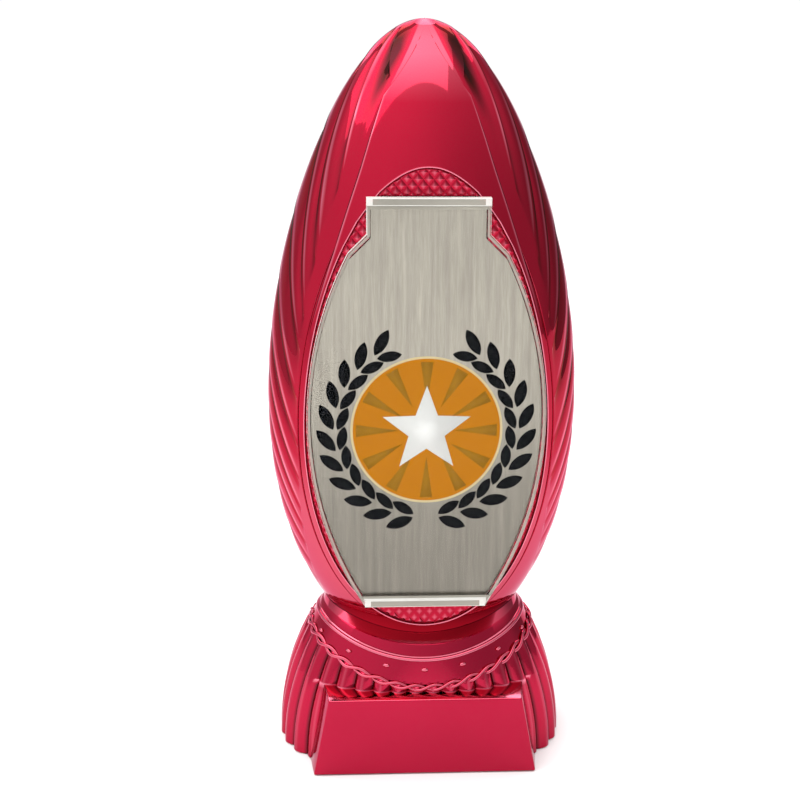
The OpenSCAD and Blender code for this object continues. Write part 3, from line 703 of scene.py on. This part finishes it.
# A line with one corner for each row is spun into a tube, and each corner then moves to its place on the skin.
base = bmesh.new()
line = [base.verts.new((0.0, -1.0, row)) for row in range(len(ROWS))]
for lower, upper in zip(line, line[1:]):
    base.edges.new((lower, upper))
bmesh.ops.spin(base, geom=base.verts[:] + base.edges[:], axis=(0, 0, 1), cent=(0, 0, 0), angle=2 * math.pi,
               steps=FOLDS * FOLD_STEPS, use_merge=True)
light_layer = base.verts.layers.float.new("painted_shade_and_highlight")
for v in base.verts:
    part, k = ROWS[round(v.co.z)]
    a = math.atan2(v.co.x, -v.co.y)
    v.co = plinth_point(part, k, a) * MM
    # Painted highlight along the ledge, painted shade in creases, painted highlights on crests, bead, fillet,
    # rim, cup
    if part == "folds" and k == HEM_ROW and v.co.y < 0 and abs(v.co.x) < HEM_HALF_W * MM:
        v[light_layer] = -1.0
    elif part == "folds":
        crease = fold_cut(a) / FOLD_DEPTH
        v[light_layer] = CREASE_PAINTED_SHADE * ramp(crease, *CREASE_FADE) + CREST_PAINTED_HIGHLIGHT * ramp(crease, *CREST_FADE)
    elif part == "bead" and k in (2, 3, 4) or part == "fillet" and k in (1, 2, 3):
        v[light_layer] = BEAD_PAINTED_HIGHLIGHT
    elif part == "cup" or part == "rim" and k == 1:
        v[light_layer] = RIM_PAINTED_HIGHLIGHT
bmesh.ops.holes_fill(base, edges=[e for e in base.edges if e.is_boundary], sides=0)
bmesh.ops.recalc_face_normals(base, faces=base.faces)
base_lacquer = metallised_abs("crimson_metallised_ABS_satin", "#b00a36", "#a4082f", 0.07, 0.15, 0.3)
new_piece(base, "draped_base", [base_lacquer], "award", ["plinth"], sharp=30)

# Drops
# Small oval drops moulded with the plinth, evenly spaced round it between the bead and the rope. Each one
# carries a painted highlight, a spot of light painted into its colour.
DROPS, DROP_FALL, DROP_OUT, DROP_PAINTED_HIGHLIGHT = 16, 3.0, 0.1, -0.7
DROP_HALF_W, DROP_HALF_D, DROP_HALF_H = 1.15, 0.5, 0.65
drops = bmesh.new()
for k in range(DROPS):
    a = 2 * math.pi * k / DROPS
    middle = drape_point(swag(BEAD_Z, BEAD_EAR_Z, a) - DROP_FALL, a, -FOLD_DEPTH / 2 + DROP_OUT)
    oval_shape = Matrix.Rotation(a, 4, "Z") @ Matrix.Diagonal((DROP_HALF_W, DROP_HALF_D, DROP_HALF_H, 1.0))
    bmesh.ops.create_uvsphere(drops, u_segments=12, v_segments=6, radius=1.0,
                              matrix=Matrix.Scale(MM, 4) @ Matrix.Translation(middle) @ oval_shape)
light_layer = drops.verts.layers.float.new("painted_shade_and_highlight")
# A painted highlight on every drop
for v in drops.verts:
    v[light_layer] = DROP_PAINTED_HIGHLIGHT
new_piece(drops, "collar_drops", [base_lacquer], "award", sharp=60)

# Rope
# The rope is moulded with the plinth, as two strands twisted round each other over the top of the folds. It
# has the same lacquered finish, with a painted highlight on the outside of each strand.
LINK, ROPE_ROUND, ROPE_STEPS, ROPE_DROP, ROPE_OUT, ROPE_PAINTED_HIGHLIGHT = 7.2, 42, 480, 0.9, 0.35, -0.65
STRAND_R, STRAND_OFF, STRAND_FLAT = 0.5, 0.75, 0.5
TWISTS = round(2 * math.pi * ROPE_ROUND / (2 * LINK))
# Each strand starts as a hoop of this radius, which is then twisted and laid round the drape.
HOOP_R = 3.0
rope = bmesh.new()
light_layer = rope.verts.layers.float.new("painted_shade_and_highlight")
for strand in (0, 1):
    done = set(rope.verts)
    upright = Matrix.Translation((HOOP_R, 0, 0)) @ Matrix.Rotation(math.pi / 2, 4, "X")
    section = bmesh.ops.create_circle(rope, segments=8, radius=1.0, matrix=upright)["verts"]
    bmesh.ops.spin(rope, geom=section + list({e for v in section for e in v.link_edges}), axis=(0, 0, 1),
                   cent=(0, 0, 0), angle=2 * math.pi, steps=ROPE_STEPS, use_merge=True)
    for v in set(rope.verts) - done:
        a = math.atan2(v.co.x, -v.co.y)
        reach = math.hypot(v.co.x, v.co.y) - HOOP_R
        twist = TWISTS * a + math.pi * strand
        out = STRAND_FLAT * STRAND_OFF * math.cos(twist) + STRAND_R * reach
        up = STRAND_OFF * math.sin(twist) + STRAND_R * v.co.z
        # Painted highlight on the outside of each strand
        v[light_layer] = ROPE_PAINTED_HIGHLIGHT * ramp(reach, 0, 1)
        height = swag(ROPE_Z - ROPE_DROP, ROPE_EAR_Z, a) + up
        v.co = drape_point(height, a, -FOLD_DEPTH / 2 + out + ROPE_OUT) * MM
bmesh.ops.recalc_face_normals(rope, faces=rope.faces)
new_piece(rope, "twisted_rope", [base_lacquer], "award", sharp=60)

# Plaque block
# A plain tapered block moulded in front of the folds, with a flat face for an engraved plate. Its edges are
# slightly rounded and catch a thin line of light.
BLOCK_W, BLOCK_Y, BLOCK_D, BLOCK_H = 68.0, 34.0, 16.0, 24.6
LEAN, SPLAY, BLOCK_ROUND, BLOCK_TOP_PAINTED_HIGHLIGHT = math.radians(10.8), math.radians(7.0), 0.45, -0.7
# The block starts twice too wide, and two leaning, splayed cuts make its sides.
block = bmesh.new()
bmesh.ops.create_cube(block, size=1.0)
for v in block.verts:
    z = PAD_PROUD + (v.co.z + 0.5) * (BLOCK_H - PAD_PROUD)
    v.co = Vector((v.co.x * 2 * BLOCK_W, -BLOCK_Y + (v.co.y + 0.5) * BLOCK_D, z)) * MM
for side in (-1, 1):
    out = Matrix.Rotation(-SPLAY, 3, "Z") @ Vector((math.cos(LEAN), 0, math.sin(LEAN)))
    cut = bmesh.ops.bisect_plane(block, geom=everything(block), dist=1e-7,
                                 plane_co=Vector((side * BLOCK_W / 2, -BLOCK_Y, 0)) * MM,
                                 plane_no=Vector((side * out.x, out.y, out.z)), clear_outer=True)
    bmesh.ops.edgeloop_fill(block, edges=[g for g in cut["geom_cut"] if isinstance(g, bmesh.types.BMEdge)])
bmesh.ops.recalc_face_normals(block, faces=block.faces)
light_layer = block.verts.layers.float.new("painted_shade_and_highlight")
bmesh.ops.bevel(block, geom=block.edges[:], offset=BLOCK_ROUND * MM, segments=3, affect="EDGES", profile=0.5,
                material=-1)
# A painted highlight lightens the top of the block
for v in block.verts:
    v[light_layer] = BLOCK_TOP_PAINTED_HIGHLIGHT if v.co.z > (BLOCK_H - 0.1) * MM else 0.0
new_piece(block, "plaque_block", [base_lacquer], "award", sharp=20)


# Weight, rod and pad
# Inside the plinth a cast weight is clamped by the rod, nuts and washers that hold the egg down. A glued felt
# pad closes the hollow and is what the award stands on.
def cast_cement():
    # Sand and cement cast in a mould: dull grey, speckled by sand about 1 mm across.
    material, tree, place, shader = new_material("cast_cement")
    sand = add_node(tree, "ShaderNodeTexVoronoi", {"Vector": place, "Scale": 1 / (1.2 * MM)})
    grey = add_node(tree, "ShaderNodeMix", {"Factor": sand.outputs["Distance"], COLOUR_A: linear("#8d8a84"),
                                            COLOUR_B: linear("#6f6c67")}, data_type="RGBA")
    set_inputs(tree, shader, {"Base Color": grey.outputs[MIXED], "Roughness": 0.9})
    return material


def zinc_plated_steel():
    # Bright zinc plate on turned steel: bluish grey, with fine lathe marks.
    material, tree, place, shader = new_material("zinc_plated_steel")
    marks = add_node(tree, "ShaderNodeTexNoise", {"Vector": place, "Scale": 1 / (0.6 * MM), "Detail": 2.0})
    polish = add_node(tree, "ShaderNodeMapRange", {"Value": marks.outputs["Fac"], "To Min": 0.2,
                                                   "To Max": 0.4})
    set_inputs(tree, shader, {"Base Color": linear("#c9cdd1"), "Roughness": polish.outputs["Result"],
                              "Metallic": 1.0})
    return material


def black_wool_felt():
    # Pressed wool fibres about 0.3 mm apart: a matt black nap with a soft sheen.
    material, tree, place, shader = new_material("black_wool_felt")
    nap = add_node(tree, "ShaderNodeTexNoise", {"Vector": place, "Scale": 1 / (0.3 * MM), "Detail": 3.0})
    fuzz = add_node(tree, "ShaderNodeBump", {"Height": nap.outputs["Fac"], "Strength": 0.6,
                                             "Distance": 0.2 * MM})
    set_inputs(tree, shader, {"Base Color": linear("#17171a"), "Roughness": 0.95, "Sheen Weight": 0.3,
                              "Normal": fuzz.outputs["Normal"]})
    return material


for names, material in ((("base_weight",), cast_cement()),
                        (("tie_rod", "rod_nuts", "rod_washers"), zinc_plated_steel()),
                        (("base_pad",), black_wool_felt())):
    for name in names:
        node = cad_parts[name]
        node.data.materials.clear()
        node.data.materials.append(material)

# Studio
# A wide pale paper floor in a white room that is brighter on the left. The room behind the object is dim,
# except for the pale wall that closes the view. One large soft box hangs above and another behind.
floor = bmesh.new()
bmesh.ops.create_circle(floor, cap_ends=True, segments=96, radius=4.0)
floor_mesh = bpy.data.meshes.new("studio_floor")
floor.to_mesh(floor_mesh)
floor.free()
studio_floor = bpy.data.objects.new("studio_floor", floor_mesh)
bpy.context.scene.collection.objects.link(studio_floor)
paper, tree, place, shader = new_material("white_background_paper")
set_inputs(tree, shader, {"Base Color": linear("#fdfdfd"), "Roughness": 0.9})
floor_mesh.materials.append(paper)

room = bpy.data.worlds.new("studio")
bpy.context.scene.world = room
room.use_nodes = True
tree = room.node_tree
toward = add_node(tree, "ShaderNodeTexCoord").outputs["Generated"]
way = add_node(tree, "ShaderNodeSeparateXYZ", {"Vector": toward})
across = add_node(tree, "ShaderNodeMapRange", {"Value": way.outputs["X"], "From Min": -0.8, "From Max": 0.85,
                                               "To Min": 1.2, "To Max": 0.56},
                  interpolation_type="SMOOTHSTEP")
above = add_node(tree, "ShaderNodeMapRange", {"Value": way.outputs["Z"], "From Min": 0.2, "From Max": 1.0,
                                              "To Min": 0.0, "To Max": 0.7}, interpolation_type="SMOOTHSTEP")
dome = add_node(tree, "ShaderNodeMath", {0: across.outputs["Result"], 1: above.outputs["Result"]},
                operation="ADD")
behind = add_node(tree, "ShaderNodeMapRange", {"Value": way.outputs["Y"], "From Min": -0.1, "From Max": 0.35,
                                               "To Min": 1.0, "To Max": 0.6},
                  interpolation_type="SMOOTHSTEP")
dimmed = add_node(tree, "ShaderNodeMath", {0: dome.outputs["Value"], 1: behind.outputs["Result"]},
                  operation="MULTIPLY")
wall = add_node(tree, "ShaderNodeMapRange", {"Value": way.outputs["Y"], "From Min": 0.84, "From Max": 0.93},
                interpolation_type="SMOOTHSTEP")
light = add_node(tree, "ShaderNodeMix", {"Factor": wall.outputs["Result"], "A": dimmed.outputs["Value"],
                                         "B": 1.02})
set_inputs(tree, tree.nodes["Background"], {"Color": linear("#ffffff"), "Strength": light.outputs["Result"]})


def soft_box(name, place, aim, width, height, radiance):
    """A soft box of a given radiance, aimed at a place."""
    lamp = bpy.data.lights.new(name, "AREA")
    lamp.shape, lamp.size, lamp.size_y = "RECTANGLE", width, height
    lamp.energy = radiance * math.pi * width * height
    box = bpy.data.objects.new(name, lamp)
    bpy.context.scene.collection.objects.link(box)
    box.location = place
    box.rotation_mode = "QUATERNION"
    box.rotation_quaternion = (Vector(aim) - Vector(place)).to_track_quat("-Z", "Y")


# The box above points a hair off straight down, so that its long side has a definite direction.
soft_box("soft_box_above", (-0.22, -0.08, 0.75), (-0.22, -0.0799, 0.0), 1.0, 0.62, 1.6)
soft_box("soft_box_behind", (0.0, 0.75, 0.85), (0.0, 0.25, 0.0), 1.4, 0.5, 2.4)

# Camera
# The photograph was taken close up, from about the height of the apex and a little to the left, and looks
# slightly down on the plinth. The camera's place and aim are in mm.
CAMERA_PLACE, CAMERA_AIM, CAMERA_ROLL = (-25.3, -439.3, 215.0), (0, 0, 112.0), math.radians(0.42)
camera = bpy.data.cameras.new("photo_camera")
view = bpy.data.objects.new("photo_camera", camera)
bpy.context.scene.collection.objects.link(view)
bpy.context.scene.camera = view
camera.lens, camera.sensor_width = 65.3, 36.0
camera.shift_x, camera.shift_y = -0.0269, -0.00925
camera.clip_start, camera.clip_end = 0.01, 20.0
view.location = Vector(CAMERA_PLACE) * MM
view.rotation_mode = "QUATERNION"
aim = (Vector(CAMERA_AIM) * MM - view.location).to_track_quat("-Z", "Y")
view.rotation_quaternion = aim @ Matrix.Rotation(CAMERA_ROLL, 4, "Z").to_quaternion()
bpy.context.scene.view_settings.view_transform = "Standard"
